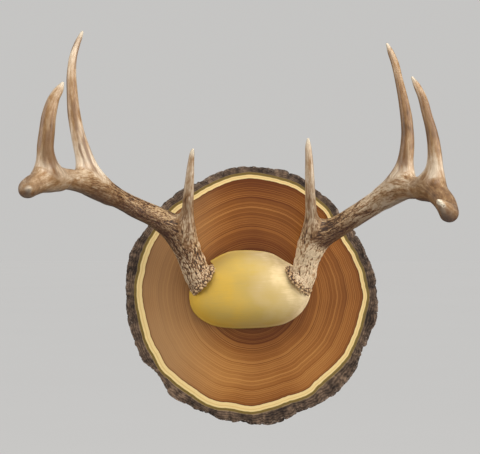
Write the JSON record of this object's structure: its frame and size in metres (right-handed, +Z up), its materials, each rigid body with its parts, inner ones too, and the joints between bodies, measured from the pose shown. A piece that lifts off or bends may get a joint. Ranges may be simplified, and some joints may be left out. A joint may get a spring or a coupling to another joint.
{
  "type": "mounted deer antlers on a wood slice plaque",
  "caption": "Pair of branching deer antlers on a skull plate under a domed brass cover, fixed to a round live-edge slice of a tree trunk that hangs on a wall.",
  "frame": {"origin": "middle of the wood slice's flat sawn back, which lies on the wall", "axes": "+Z up the wall, +X to the right as seen from the room, +Y into the wall, so the antlers reach out along -Y"},
  "size_m": [0.4327, 0.3929, 0.4511],
  "materials": {
    "heartwood": "satin lacquer over sanded end grain, orange brown with fine rings, a cream sapwood ring and rough bark",
    "bark": "rough dry bark plates, dark purplish brown",
    "antler": "grooved antler bone, brown with pale ridges",
    "antler_tine": "smoother antler bone, cream and tan, polished ivory white at the tips",
    "skull_bone": "matt boiled bone",
    "brass_cover": "satin brushed brass",
    "screw_steel": "zinc plated steel"
  },
  "bodies": {
    "root": {"wood_slice": "heartwood", "hanger_plate": "screw_steel", "hanger_screw_1": "screw_steel", "hanger_screw_2": "screw_steel", "skull_plate": "skull_bone", "skull_screw_1": "screw_steel", "skull_screw_2": "screw_steel", "skull_screw_3": "screw_steel", "skull_cover": "brass_cover", "left_beam_base": "antler", "left_beam_middle": "antler", "left_beam_upper": "antler", "left_beam_tip": "antler", "left_brow_tine": "antler_tine", "left_second_tine": "antler_tine", "left_third_tine": "antler_tine", "right_beam_base": "antler", "right_beam_middle": "antler", "right_beam_upper": "antler", "right_beam_tip": "antler", "right_brow_tine": "antler_tine", "right_second_tine": "antler_tine", "right_third_tine": "antler_tine"}
  },
  "joints": []
}
